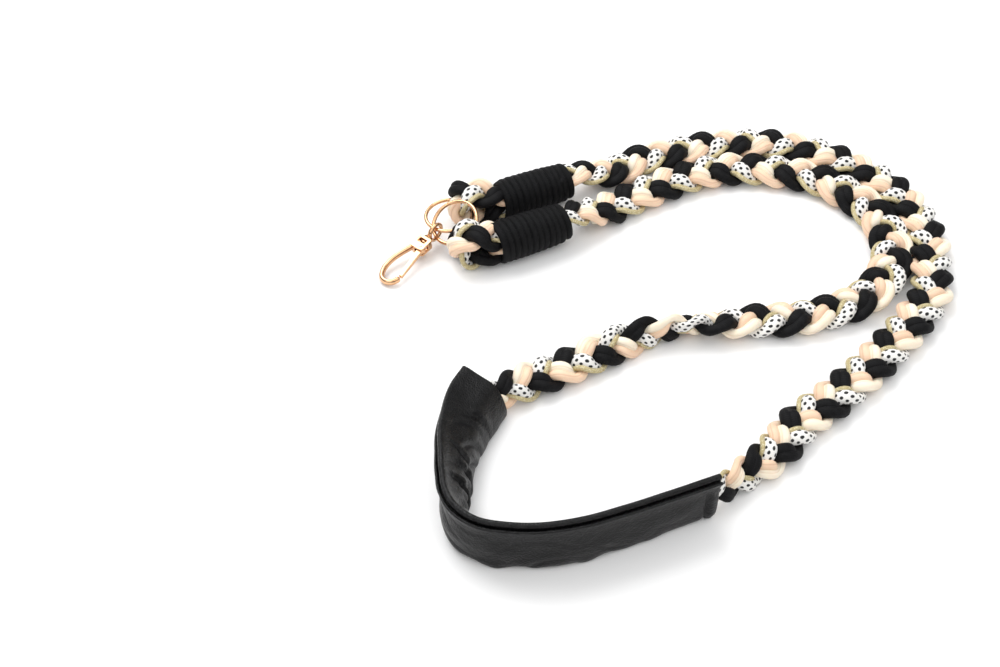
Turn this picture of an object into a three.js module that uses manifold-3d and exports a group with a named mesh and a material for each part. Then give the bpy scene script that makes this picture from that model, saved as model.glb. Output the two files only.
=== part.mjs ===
// Phone crossbody strap lying on a table: two braided runs, a leather shoulder sleeve that joins
// them, cord whippings over the folded braid ends, two rings and a swivelling snap hook.
// Millimetres, +Z up. The origin is the middle of the loop, on the table.
import * as THREE from 'three';
import { mergeVertices } from 'three/addons/utils/BufferGeometryUtils.js';
import Module from 'manifold-3d';

// Driving dimensions
const loopWidth = 274; // lying loop, along X
const loopDepth = 290; // lying loop, along Y
const tableGap = 0.15; // the lowest cords over the table
const clearance = 0.3; // between pieces that touch
const overcut = 2; // a cutter stands this far past what it cuts

const braidPitch = 35; // one full turn of the three-strand pattern
const braidSway = 6.6; // a strand's middle, from side to side
const braidLift = 3.5; // a strand's middle, up and down where it crosses
const strandWidth = 5.9; // two cords side by side
const strandThickness = 2.8;
const strandRoll = 0.4; // radians that a strand tips as it crosses
const ringsPerPitch = 7; // sections along one pitch of braid
const foldRingsPerPitch = 9; // closer sections round the folded ends

const twistSqueeze = 0.77; // the braid's size where it stands on edge

const whipLength = 37;
const whipDiameter = 21.5;
const whipCordWidth = 3.6;
const whipCordThickness = 2.8;
const whipTurns = 9;
const whipSqueeze = 0.56; // the braid's size inside the whipping, to its free size
const tailLength = 34; // folded-back braid hidden in the whipping

const foldHeight = 12.4; // between the two legs of a folded end
const foldSqueeze = 0.81; // the braid's size round the ring, to its free size
const tipSpread = 3.2; // the black strand stands this far aside, where a ring passes under it
const tipSpreadReach = 8;

const sleeveHeight = 30;
const sleeveThickness = 11.6;
const sleeveWall = 1.4;
const sleeveSqueeze = 0.595; // the braid's size inside the sleeve, to its free size
const braidSeat = 10.4; // the braid's axis over the sleeve's lower edge
const braidInSleeve = 26;

const ringRadius = 11.5; // to the middle of the wire
const ringWire = 1.9;

const eyeRadius = 4.2; // swivel eye, to the middle of its wire
const eyeWire = 1.9;
const eyeCollarDiameter = 5.4;
const eyeCollarLength = 1.6;
const postDiameter = 2.4;
const postHeadDiameter = 3.6;
const postHeadLength = 1.2;

const bossLength = 8.4;
const bossWidth = 7.6;
const bossThickness = 5;
const bossWall = 1.7;
const windowLength = 2.6;
const windowWidth = 4.4;
const hookLength = 33; // boss to the far end of the bow
const hookWidth = 14.5;
const hookWireWidth = 2.7;
const hookWireThickness = 3.4;
const gateWidth = 2.6;
const gateThickness = 2.2;
const gatePinDiameter = 1.4;
const gateEyeDiameter = 4.2;

const colours = {
  black: { color: 0x131315, roughness: 0.75, metalness: 0 },
  blush: { color: 0xf0d2b8, roughness: 0.55, metalness: 0 },
  dotted: { color: 0xe9e6df, roughness: 0.6, metalness: 0 },
  leather: { color: 0x19191b, roughness: 0.5, metalness: 0 },
  gold: { color: 0xe3b48c, roughness: 0.18, metalness: 1 },
};

// Routes on the table. across and along are shares of loopWidth and loopDepth.
const outerRun = [
  { across: 0.0758, along: -0.3374, twist: 70 },
  { across: 0.1308, along: -0.2934, twist: 35 },
  { across: 0.1598, along: -0.2584, twist: 10 },
  { across: 0.1968, along: -0.2104, twist: 0 },
  { across: 0.2478, along: -0.1694, twist: 0 },
  { across: 0.3388, along: -0.0794, twist: 0 },
  { across: 0.4078, along: 0.0036, twist: 0 },
  { across: 0.4518, along: 0.0686, twist: 0 },
  { across: 0.4628, along: 0.1276, twist: 0 },
  { across: 0.4708, along: 0.1996, twist: 0 },
  { across: 0.4558, along: 0.2826, twist: 0 },
  { across: 0.4118, along: 0.3586, twist: 0 },
  { across: 0.3428, along: 0.4156, twist: 0 },
  { across: 0.2728, along: 0.4516, twist: 0 },
  { across: 0.1998, along: 0.4636, twist: 0 },
  { across: 0.1238, along: 0.4606, twist: 0 },
  { across: 0.0468, along: 0.4416, twist: 0 },
  { across: -0.0292, along: 0.4166, twist: 0 },
  { across: -0.0832, along: 0.3846, twist: 0 },
];
const innerRun = [
  { across: -0.2562, along: -0.1414, twist: -148 },
  { across: -0.2122, along: -0.1134, twist: -174 },
  { across: -0.1612, along: -0.0864, twist: -178 },
  { across: -0.0922, along: -0.0514, twist: -140 },
  { across: -0.0222, along: -0.0244, twist: -86 },
  { across: 0.0288, along: -0.0104, twist: -50 },
  { across: 0.0798, along: -0.0034, twist: -14 },
  { across: 0.1488, along: 0.0066, twist: 0 },
  { across: 0.1998, along: 0.0106, twist: 0 },
  { across: 0.2588, along: 0.0236, twist: 0 },
  { across: 0.3058, along: 0.0416, twist: 0 },
  { across: 0.3568, along: 0.0796, twist: 0 },
  { across: 0.3898, along: 0.1276, twist: 0 },
  { across: 0.4028, along: 0.1866, twist: 0 },
  { across: 0.3968, along: 0.2416, twist: 0 },
  { across: 0.3698, along: 0.2966, twist: 0 },
  { across: 0.3168, along: 0.3486, twist: 0 },
  { across: 0.2658, along: 0.3756, twist: 0 },
  { across: 0.1928, along: 0.3896, twist: 0 },
  { across: 0.1158, along: 0.3896, twist: 0 },
  { across: 0.0538, along: 0.3686, twist: 0 },
  { across: -0.0152, along: 0.3346, twist: 0 },
  { across: -0.0922, along: 0.2866, twist: 0 },
];

// Lower edge of the sleeve, from the inner run's end to the outer run's, and its lean outward.
const sleeveRoute = [
  { across: -0.2962, along: -0.1824, leanDeg: 40 },
  { across: -0.3152, along: -0.2154, leanDeg: 37 },
  { across: -0.3322, along: -0.2534, leanDeg: 31 },
  { across: -0.3472, along: -0.2984, leanDeg: 24 },
  { across: -0.3562, along: -0.3444, leanDeg: 17 },
  { across: -0.3612, along: -0.3894, leanDeg: 12 },
  { across: -0.3572, along: -0.4184, leanDeg: 11 },
  { across: -0.3432, along: -0.4434, leanDeg: 11 },
  { across: -0.3182, along: -0.4594, leanDeg: 12 },
  { across: -0.2852, along: -0.4664, leanDeg: 12 },
  { across: -0.2342, along: -0.4684, leanDeg: 12 },
  { across: -0.1772, along: -0.4584, leanDeg: 12 },
  { across: -0.1172, along: -0.4364, leanDeg: 13 },
  { across: -0.0572, along: -0.4114, leanDeg: 14 },
  { across: 0.0288, along: -0.3722, leanDeg: 16 },
];
const sleeveStations = 18;

// Half of the sleeve's outline: up is a share of sleeveHeight, out of half its thickness.
const sleeveSkin = [
  { up: 0, out: 0.5 },
  { up: 0.11, out: 0.9 },
  { up: 0.3, out: 1 },
  { up: 0.5, out: 0.93 },
  { up: 0.68, out: 0.6 },
  { up: 0.9, out: 0.5 },
  { up: 1, out: 0.36 },
  { up: 1, out: 0.12 },
];
const seamGroove = { up: 0.95, out: 0 };
const sleeveHollow = [
  { up: 0.115, out: 0.62 },
  { up: 0.3, out: 1 },
  { up: 0.5, out: 0.86 },
  { up: 0.62, out: 0.4 },
];
const hollowFloor = { up: 0.06, out: 0 };
const hollowRoof = { up: 0.65, out: 0 };

// Folded ends, seen from the side: reach is a share of foldReach, rise of half of foldHeight.
const foldOutline = [
  { reach: 0.3, rise: 0.78 },
  { reach: 0.6, rise: 1 },
  { reach: 0.88, rise: 0.78 },
  { reach: 1, rise: 0 },
  { reach: 0.88, rise: -0.78 },
  { reach: 0.6, rise: -1 },
  { reach: 0.3, rise: -0.78 },
];

// The swivel eye's middle. The pieces at the hook are placed from it, in millimetres.
const swivelPlace = new THREE.Vector3(-0.4077 * loopWidth, 0.2125 * loopDepth, 8.2);
const hookHeadingDeg = 230; // boss to bow, on the table
const hookSinkDeg = 9; // the post slopes down from the eye to the hook

// The two folded ends: mouth of the whipping, its heading, and the fold's heading and reach.
const outerEnd = { mouth: fromSwivel(33.1, 21.5), headingDeg: 24.8, foldHeadingDeg: 10, foldReach: 22.5 };
const innerEnd = { mouth: fromSwivel(31.1, -10.8), headingDeg: 26, foldHeadingDeg: 5, foldReach: 20 };
const whipAxisHeight = whipDiameter / 2 + tableGap;

// A ring's high side faces highSideDeg, and it is tilted by tiltDeg from lying flat.
const outerRing = { centre: fromSwivel(6.6, 9.8, 2.4), highSideDeg: 22.8, tiltDeg: 3.6 };
const innerRing = { centre: fromSwivel(9.6, 2.1, 4.4), highSideDeg: 42.6, tiltDeg: 31 };

function fromSwivel(x, y, z = 0) {
  return swivelPlace.clone().add(new THREE.Vector3(x, y, z));
}

const wasm = await Module();
wasm.setup();

const up = new THREE.Vector3(0, 0, 1);
const radians = (degrees) => (degrees * Math.PI) / 180;
const mix = (a, b, share) => a + (b - a) * share;

function addMesh(parent, name, geometry, finish) {
  const mesh = new THREE.Mesh(geometry, new THREE.MeshStandardMaterial(finish));
  mesh.name = name;
  parent.add(mesh);
  return mesh;
}

// A closed solid through sections of equal point count, flat at both ends.
function loft(sections) {
  const count = sections[0].length;
  const positions = sections.flat().flatMap((point) => [point.x, point.y, point.z]);
  const faces = [];
  for (let i = 0; i + 1 < sections.length; i++) {
    for (let j = 0; j < count; j++) {
      const a = i * count + j;
      const b = i * count + ((j + 1) % count);
      faces.push(a, b, b + count, a, b + count, a + count);
    }
  }
  const last = (sections.length - 1) * count;
  for (let j = 1; j + 1 < count; j++) {
    faces.push(0, j + 1, j, last, last + j, last + j + 1);
  }
  const geometry = new THREE.BufferGeometry();
  geometry.setAttribute('position', new THREE.Float32BufferAttribute(positions, 3));
  geometry.setIndex(enclosedVolume(sections.flat(), faces) < 0 ? faces.reverse() : faces);
  return geometry;
}

// Negative where the faces point inwards.
function enclosedVolume(points, faces) {
  const origin = points[0];
  let sum = 0;
  for (let i = 0; i < faces.length; i += 3) {
    const [a, b, c] = [0, 1, 2].map((corner) => points[faces[i + corner]].clone().sub(origin));
    sum += a.dot(b.cross(c)) / 6;
  }
  return sum;
}

// Points, directions and row values along a smooth curve through the rows.
class Route {
  constructor(rows) {
    this.rows = rows;
    this.curve = new THREE.CatmullRomCurve3(rows.map((row) => row.point), false, 'centripetal');
    this.curve.arcLengthDivisions = 1200;
    this.length = this.curve.getLength();
  }

  // The distance along the curve at which it passes a row's point.
  distanceOfRow(index) {
    const lengths = this.curve.getLengths();
    return lengths[Math.round((index / (this.rows.length - 1)) * (lengths.length - 1))];
  }

  stationAt(distance) {
    const t = this.curve.getUtoTmapping(THREE.MathUtils.clamp(distance / this.length, 0, 1));
    const place = t * (this.rows.length - 1);
    const index = Math.min(Math.floor(place), this.rows.length - 2);
    const [from, to] = [this.rows[index], this.rows[index + 1]];
    const share = place - index;
    return {
      distance,
      point: this.curve.getPoint(t),
      tangent: this.curve.getTangent(t),
      squeeze: mix(from.squeeze ?? 1, to.squeeze ?? 1, share),
      twist: radians(mix(from.twist ?? 0, to.twist ?? 0, share)),
      lean: radians(mix(from.leanDeg ?? 0, to.leanDeg ?? 0, share)),
    };
  }

  // Stations whose side vector is carried along without turning about the curve.
  stations(distances) {
    const list = distances.map((distance) => this.stationAt(distance));
    let side = new THREE.Vector3().crossVectors(list[0].tangent, up).normalize();
    for (const station of list) {
      side = side.clone().addScaledVector(station.tangent, -side.dot(station.tangent)).normalize();
      station.side = side;
      station.rise = new THREE.Vector3().crossVectors(side, station.tangent);
    }
    return list;
  }
}

function tablePoint(row, height) {
  return new THREE.Vector3(row.across * loopWidth, row.along * loopDepth, height);
}

const braidHalfThickness = braidLift + strandThickness / 2 + Math.sin(strandRoll) * strandWidth * 0.22;
const braidAxisHeight = braidHalfThickness + tableGap;
const braidHalfWidth = braidSway + strandWidth / 2 + 0.6;

// Shoulder sleeve
// A point of the leaning section: it is upright at the table and curls outward towards its top.
function sleevePoint(station, height, outward) {
  const turn = (2 * station.lean * height) / sleeveHeight;
  const radius = station.lean > 0.001 ? sleeveHeight / (2 * station.lean) : 0;
  const shift = radius ? radius * (1 - Math.cos(turn)) : 0;
  const rise = radius ? radius * Math.sin(turn) : height;
  return station.point
    .clone()
    .addScaledVector(station.side, shift + outward * Math.cos(turn))
    .addScaledVector(up, rise - outward * Math.sin(turn));
}

function sleeveSection(station, half, crest, floor, halfWidth) {
  const place = (row, sign) => sleevePoint(station, row.up * sleeveHeight, sign * row.out * halfWidth);
  const outer = half.map((row) => place(row, 1));
  const inner = half.map((row) => place(row, -1)).reverse();
  return [...(floor ? [place(floor, 1)] : []), ...outer, place(crest, 1), ...inner];
}

const sleeve = new Route(sleeveRoute.map((row) => ({ ...row, point: tablePoint(row, tableGap) })));

function sleeveStationList(count) {
  const distances = Array.from({ length: count + 1 }, (_, i) => (i / count) * sleeve.length);
  return sleeve.stations(distances);
}

// The tube's skin, its hollow and the two ring-shaped ends between them.
function sleeveGeometry() {
  const stations = sleeveStationList(sleeveStations);
  const hollowHalf = sleeveThickness / 2 - sleeveWall;
  const skin = stations.map((s) => sleeveSection(s, sleeveSkin, seamGroove, null, sleeveThickness / 2));
  const first = { ...stations[0], point: stations[0].point.clone() };
  const last = { ...stations.at(-1), point: stations.at(-1).point.clone() };
  first.point.addScaledVector(first.tangent, -overcut);
  last.point.addScaledVector(last.tangent, overcut);
  const cutters = [first, ...stations, last];
  const hollow = cutters.map((s) => sleeveSection(s, sleeveHollow, hollowRoof, hollowFloor, hollowHalf));
  return fromManifold(toManifold(loft(skin)).subtract(toManifold(loft(hollow))));
}

function braidPointInSleeve(distance) {
  const [station] = sleeve.stations([distance]);
  return sleevePoint(station, braidSeat, 0);
}

// Solids that are joined or cut
function toManifold(geometry) {
  const bare = geometry.clone();
  bare.deleteAttribute('normal');
  bare.deleteAttribute('uv');
  const merged = mergeVertices(bare, 1e-5);
  const triVerts = new Uint32Array(merged.index.array);
  const vertProperties = new Float32Array(merged.attributes.position.array);
  return new wasm.Manifold(new wasm.Mesh({ numProp: 3, vertProperties, triVerts }));
}

function fromManifold(solid) {
  const mesh = solid.getMesh();
  const geometry = new THREE.BufferGeometry();
  geometry.setAttribute('position', new THREE.Float32BufferAttribute(mesh.vertProperties, 3));
  geometry.setIndex(Array.from(mesh.triVerts));
  return geometry;
}

// Braided runs
function heading(degrees) {
  return new THREE.Vector3(Math.cos(radians(degrees)), Math.sin(radians(degrees)), 0);
}

// The rows of one end: through the whipping, round the ring and back into the whipping.
function endRows(end) {
  const mouth = end.mouth.clone().setZ(whipAxisHeight);
  const along = heading(end.headingDeg);
  const outwards = heading(end.foldHeadingDeg + 180);
  const layer = braidHalfThickness * whipSqueeze + clearance;
  const inWhip = (share, side) => ({
    point: mouth.clone().addScaledVector(along, share * whipLength).addScaledVector(up, side * layer),
    squeeze: whipSqueeze,
  });
  const fold = foldOutline.map((row) => ({
    point: mouth
      .clone()
      .addScaledVector(outwards, row.reach * end.foldReach)
      .addScaledVector(up, (row.rise * foldHeight) / 2),
    squeeze: foldSqueeze,
  }));
  const tailShare = tailLength / whipLength;
  return [inWhip(1, 1), inWhip(0.5, 1), inWhip(0.04, 1), ...fold, inWhip(0.04, -1), inWhip(tailShare, -1)];
}

function runRoute(run, end, sleeveDistances, uprightTwist) {
  const inSleeve = sleeveDistances.map((distance) => {
    const lean = sleeve.stationAt(distance).lean;
    const leanAtBraid = THREE.MathUtils.radToDeg((2 * lean * braidSeat) / sleeveHeight);
    const twist = uprightTwist - leanAtBraid;
    return { point: braidPointInSleeve(distance), twist, squeeze: sleeveSqueeze };
  });
  const free = run.map((row) => {
    const lift = Math.abs(Math.sin(radians(row.twist)));
    const squeeze = mix(1, twistSqueeze, lift);
    return { ...row, point: tablePoint(row, mix(braidAxisHeight, squeeze * braidHalfWidth, lift)), squeeze };
  });
  const ends = endRows(end);
  const route = new Route([...inSleeve, ...free, ...ends]);
  route.whipStart = route.distanceOfRow(inSleeve.length + free.length);
  route.foldStart = route.distanceOfRow(inSleeve.length + free.length + 2);
  route.tip = route.distanceOfRow(inSleeve.length + free.length + 3 + 3);
  return route;
}

function routeDistances(route) {
  const distances = [];
  const coarse = Math.round((route.foldStart / braidPitch) * ringsPerPitch);
  const fine = Math.round(((route.length - route.foldStart) / braidPitch) * foldRingsPerPitch);
  for (let i = 0; i < coarse; i++) distances.push((i / coarse) * route.foldStart);
  for (let i = 0; i <= fine; i++) distances.push(mix(route.foldStart, route.length, i / fine));
  return distances;
}

// One strand: its middle swings and rises in the braid's own axes, and its section tips with it.
function strandGeometry(route, hand, phase, spread) {
  const middle = (station) => {
    const turn = (2 * Math.PI * (station.distance - route.tip)) / braidPitch + phase;
    const bump = spread * Math.exp(-(((station.distance - route.tip) / tipSpreadReach) ** 2));
    const side = station.side.clone().applyAxisAngle(station.tangent, station.twist);
    const rise = station.rise.clone().applyAxisAngle(station.tangent, station.twist);
    const point = station.point
      .clone()
      .addScaledVector(side, station.squeeze * braidSway * Math.sin(turn) + bump)
      .addScaledVector(rise, station.squeeze * hand * braidLift * Math.sin(2 * turn));
    return { point, rise, roll: hand * strandRoll * Math.cos(turn), size: station.squeeze };
  };
  const middles = route.stations(routeDistances(route)).map(middle);
  const sections = middles.map((at, i) => {
    const before = middles[Math.max(i - 1, 0)].point;
    const after = middles[Math.min(i + 1, middles.length - 1)].point;
    const tangent = after.clone().sub(before).normalize();
    const flat = new THREE.Vector3().crossVectors(tangent, at.rise).normalize();
    const wide = flat.applyAxisAngle(tangent, at.roll);
    const thick = new THREE.Vector3().crossVectors(wide, tangent);
    return strandSection(at.point, wide, thick, at.size);
  });
  return loft(sections);
}

// Six corners of a strand: two cords side by side.
function strandSection(point, wide, thick, size) {
  const corners = [
    [0.5, 0],
    [0.27, 0.5],
    [-0.27, 0.5],
    [-0.5, 0],
    [-0.27, -0.5],
    [0.27, -0.5],
  ];
  return corners.map(([w, t]) =>
    point
      .clone()
      .addScaledVector(wide, w * strandWidth * size)
      .addScaledVector(thick, t * strandThickness * size),
  );
}

const strands = [
  { name: 'black', share: 0, finish: colours.black },
  { name: 'blush', share: 1 / 3, finish: colours.blush },
  { name: 'dotted', share: 2 / 3, finish: colours.dotted },
];

function addBraid(parent, name, route, hand, spread) {
  for (const strand of strands) {
    const aside = strand.name === 'black' ? spread : 0;
    const phase = 2 * Math.PI * (0.25 + hand * strand.share);
    addMesh(parent, `${name}_${strand.name}_strand`, strandGeometry(route, hand, phase, aside), strand.finish);
  }
}

// Whippings: a flattened cord wound on itself, turn beside turn.
function whippingGeometry() {
  const stepsPerTurn = 8;
  const steps = whipTurns * stepsPerTurn;
  const advance = (whipLength - whipCordWidth) / whipTurns;
  const radius = (whipDiameter - whipCordThickness) / 2;
  const cordWidth = Math.min(whipCordWidth, advance - clearance);
  const sections = [];
  for (let i = 0; i <= steps; i++) {
    const angle = (2 * Math.PI * i) / stepsPerTurn;
    const outward = new THREE.Vector3(0, Math.cos(angle), Math.sin(angle));
    const middle = outward.clone().multiplyScalar(radius);
    middle.x = whipCordWidth / 2 + (advance * i) / stepsPerTurn;
    sections.push(roundSection(middle, outward, new THREE.Vector3(1, 0, 0), whipCordThickness, cordWidth, 5));
  }
  return loft(sections);
}

function roundSection(middle, first, second, firstSize, secondSize, sides) {
  return Array.from({ length: sides }, (_, j) => {
    const angle = (2 * Math.PI * j) / sides;
    return middle
      .clone()
      .addScaledVector(first, (Math.cos(angle) * firstSize) / 2)
      .addScaledVector(second, (Math.sin(angle) * secondSize) / 2);
  });
}

function addWhipping(parent, name, end) {
  const mesh = addMesh(parent, name, whippingGeometry(), colours.black);
  mesh.position.copy(end.mouth).setZ(whipAxisHeight);
  mesh.rotation.z = radians(end.headingDeg);
}

// Rings
function addRing(parent, name, ring) {
  const mesh = addMesh(parent, name, new THREE.TorusGeometry(ringRadius, ringWire / 2, 5, 26), colours.gold);
  mesh.position.copy(ring.centre);
  mesh.rotation.set(0, -radians(ring.tiltDeg), radians(ring.highSideDeg), 'ZYX');
}

// Swivel eye: a loop for both rings on a collared post. Its axis runs along +X to the hook.
function swivelEyeGeometry() {
  const loop = new THREE.TorusGeometry(eyeRadius, eyeWire / 2, 6, 16);
  loop.rotateX(Math.PI / 2);
  const collarStart = eyeRadius;
  const collar = turned(eyeCollarDiameter / 2, eyeCollarLength, collarStart, 10);
  const post = turned(postDiameter / 2, bossWall + 2 * clearance + eyeCollarLength, collarStart, 10);
  const headStart = collarStart + eyeCollarLength + bossWall + 2 * clearance;
  const head = turned(postHeadDiameter / 2, postHeadLength, headStart - 0.05, 10);
  return fromManifold([collar, post, head].reduce((sum, part) => sum.add(toManifold(part)), toManifold(loop)));
}

function turned(radius, length, start, sides) {
  const body = new THREE.CylinderGeometry(radius, radius, length, sides);
  body.rotateZ(-Math.PI / 2);
  body.translate(start + length / 2, 0, 0);
  return body;
}

const bossStart = eyeRadius + eyeCollarLength + clearance;
const bossEnd = bossStart + bossLength;
const gatePivot = new THREE.Vector3(bossEnd - gateEyeDiameter / 2, bossWidth / 2 - gateEyeDiameter / 2, 0);
const bowEnd = bossStart + hookLength;

// The bow lies in the hook's own XY plane: away from the gate, round the end and back to the nose.
const bowOutline = [
  { length: 0.16, side: -0.2 },
  { length: 0.34, side: -0.36 },
  { length: 0.6, side: -0.5 },
  { length: 0.82, side: -0.44 },
  { length: 0.97, side: -0.2 },
  { length: 1, side: 0.08 },
  { length: 0.95, side: 0.33 },
  { length: 0.85, side: 0.44 },
];

function bowPoint(row) {
  const length = bowEnd - bossStart - hookWireWidth / 2;
  return new THREE.Vector3(bossStart + row.length * length, row.side * (hookWidth - hookWireWidth), 0);
}

function bowGeometry() {
  const curve = new THREE.CatmullRomCurve3(bowOutline.map(bowPoint));
  const sections = [];
  const steps = 15;
  for (let i = 0; i <= steps; i++) {
    const tangent = curve.getTangentAt(i / steps).setZ(0).normalize();
    const side = new THREE.Vector3().crossVectors(tangent, up);
    sections.push(chamferedSection(curve.getPointAt(i / steps), side, hookWireWidth, hookWireThickness));
  }
  return loft(sections);
}

function chamferedSection(middle, side, width, thickness) {
  const corners = [
    [0.5, -0.26],
    [0.5, 0.26],
    [0.2, 0.5],
    [-0.2, 0.5],
    [-0.5, 0.26],
    [-0.5, -0.26],
    [-0.2, -0.5],
    [0.2, -0.5],
  ];
  return corners.map(([w, t]) =>
    middle.clone().addScaledVector(side, w * width).addScaledVector(up, t * thickness),
  );
}

function box(x0, x1, y0, y1, z0, z1) {
  const body = new THREE.BoxGeometry(x1 - x0, y1 - y0, z1 - z0);
  body.translate((x0 + x1) / 2, (y0 + y1) / 2, (z0 + z1) / 2);
  return body;
}

// Boss with a window for the post's head and a slot that holds the gate on its pin.
function hookBodyGeometry() {
  const half = bossWidth / 2;
  const thick = bossThickness / 2;
  const block = toManifold(box(bossStart, bossEnd, -half, half, -thick, thick));
  const windowStart = bossStart + bossWall;
  const windowHalf = windowWidth / 2;
  const window = box(windowStart, windowStart + windowLength, -windowHalf, windowHalf, -thick - overcut, thick + overcut);
  const bore = turned(postDiameter / 2 + clearance, bossWall + overcut, bossStart - overcut / 2, 10);
  const slotHalf = gateThickness / 2 + clearance;
  const slotReach = gateEyeDiameter + 2 * clearance;
  const slot = box(
    bossEnd - slotReach,
    bossEnd + overcut,
    half - slotReach,
    half + overcut,
    -slotHalf,
    slotHalf,
  );
  const pin = new THREE.CylinderGeometry(gatePinDiameter / 2, gatePinDiameter / 2, bossThickness, 8);
  pin.rotateX(Math.PI / 2);
  pin.translate(gatePivot.x, gatePivot.y, 0);
  const bossSolid = block
    .subtract(toManifold(window))
    .subtract(toManifold(bore))
    .subtract(toManifold(slot))
    .add(toManifold(pin));
  return fromManifold(bossSolid.add(toManifold(bowGeometry())));
}

// Gate: a flat lever with an eye for the pin and a tip that meets the bow's nose.
function gateGeometry() {
  const nose = bowPoint(bowOutline.at(-1));
  const reach = nose.distanceTo(gatePivot) - hookWireWidth / 2 - clearance;
  const outline = new THREE.Shape();
  const eye = gateEyeDiameter / 2;
  const half = gateWidth / 2;
  const shoulder = Math.asin(half / eye);
  outline.absarc(0, 0, eye, shoulder, 2 * Math.PI - shoulder, false);
  outline.lineTo(reach - half, -half);
  outline.lineTo(reach, -half * 0.4);
  outline.lineTo(reach, half * 0.4);
  outline.lineTo(reach - half, half);
  outline.closePath();
  const pinHole = new THREE.Path();
  pinHole.absarc(0, 0, gatePinDiameter / 2 + clearance, 0, 2 * Math.PI, true);
  outline.holes.push(pinHole);
  const body = new THREE.ExtrudeGeometry(outline, { depth: gateThickness, bevelEnabled: false, curveSegments: 8 });
  body.translate(0, 0, -gateThickness / 2);
  body.rotateZ(Math.atan2(nose.y - gatePivot.y, nose.x - gatePivot.x));
  body.translate(gatePivot.x, gatePivot.y, 0);
  return body;
}

function addHook(parent) {
  const hook = new THREE.Group();
  hook.position.copy(swivelPlace);
  hook.rotation.set(0, radians(hookSinkDeg), radians(hookHeadingDeg), 'ZYX');
  addMesh(hook, 'swivel_eye', swivelEyeGeometry(), colours.gold);
  addMesh(hook, 'hook_body', hookBodyGeometry(), colours.gold);
  addMesh(hook, 'gate_lever', gateGeometry(), colours.gold);
  parent.add(hook);
}

const strap = new THREE.Group();
const sleeveDepths = [braidInSleeve, braidInSleeve / 2, 1];
const farDepths = sleeveDepths.map((depth) => sleeve.length - depth);
const innerRoute = runRoute(innerRun, innerEnd, sleeveDepths, -90);
const outerRoute = runRoute(outerRun, outerEnd, farDepths, 90);

addMesh(strap, 'shoulder_sleeve', sleeveGeometry(), colours.leather);
addBraid(strap, 'outer', outerRoute, 1, tipSpread);
addBraid(strap, 'inner', innerRoute, -1, tipSpread);
addWhipping(strap, 'outer_whipping', outerEnd);
addWhipping(strap, 'inner_whipping', innerEnd);
addRing(strap, 'outer_ring', outerRing);
addRing(strap, 'inner_ring', innerRing);
addHook(strap);

export default strap;
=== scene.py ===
import math
import bmesh
import bpy
import numpy as np
from mathutils import Matrix, Vector, noise


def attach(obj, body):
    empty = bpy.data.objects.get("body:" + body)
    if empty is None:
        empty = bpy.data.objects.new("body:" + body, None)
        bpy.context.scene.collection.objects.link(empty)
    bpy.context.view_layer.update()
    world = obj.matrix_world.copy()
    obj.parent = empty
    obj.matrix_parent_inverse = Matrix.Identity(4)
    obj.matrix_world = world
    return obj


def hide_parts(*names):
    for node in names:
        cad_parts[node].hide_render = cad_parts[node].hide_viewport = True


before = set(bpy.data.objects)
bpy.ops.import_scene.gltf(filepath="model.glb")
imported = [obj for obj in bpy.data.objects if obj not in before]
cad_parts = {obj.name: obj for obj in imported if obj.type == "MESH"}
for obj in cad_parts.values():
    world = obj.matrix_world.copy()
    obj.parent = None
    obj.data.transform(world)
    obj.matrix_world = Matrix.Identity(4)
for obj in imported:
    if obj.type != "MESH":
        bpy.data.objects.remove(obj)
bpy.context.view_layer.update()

mm = 0.001
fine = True

# Camera: the photograph's angle, 44 degrees above the table
cameraLook = {
    "place": (-0.0801, -0.6039, 0.5863), "target": (-0.0801, -0.001, 0), "lens": 64.8, "sensor": 36,
}


def makeCamera(look):
    camera = bpy.data.objects.new("camera", bpy.data.cameras.new("camera"))
    bpy.context.scene.collection.objects.link(camera)
    camera.location = look["place"]
    toTarget = Vector(look["target"]) - camera.location
    camera.rotation_euler = toTarget.to_track_quat("-Z", "Y").to_euler()
    camera.data.lens = look["lens"]
    camera.data.sensor_width = look["sensor"]
    bpy.context.scene.camera = camera


makeCamera(cameraLook)
print("camera set")


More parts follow.
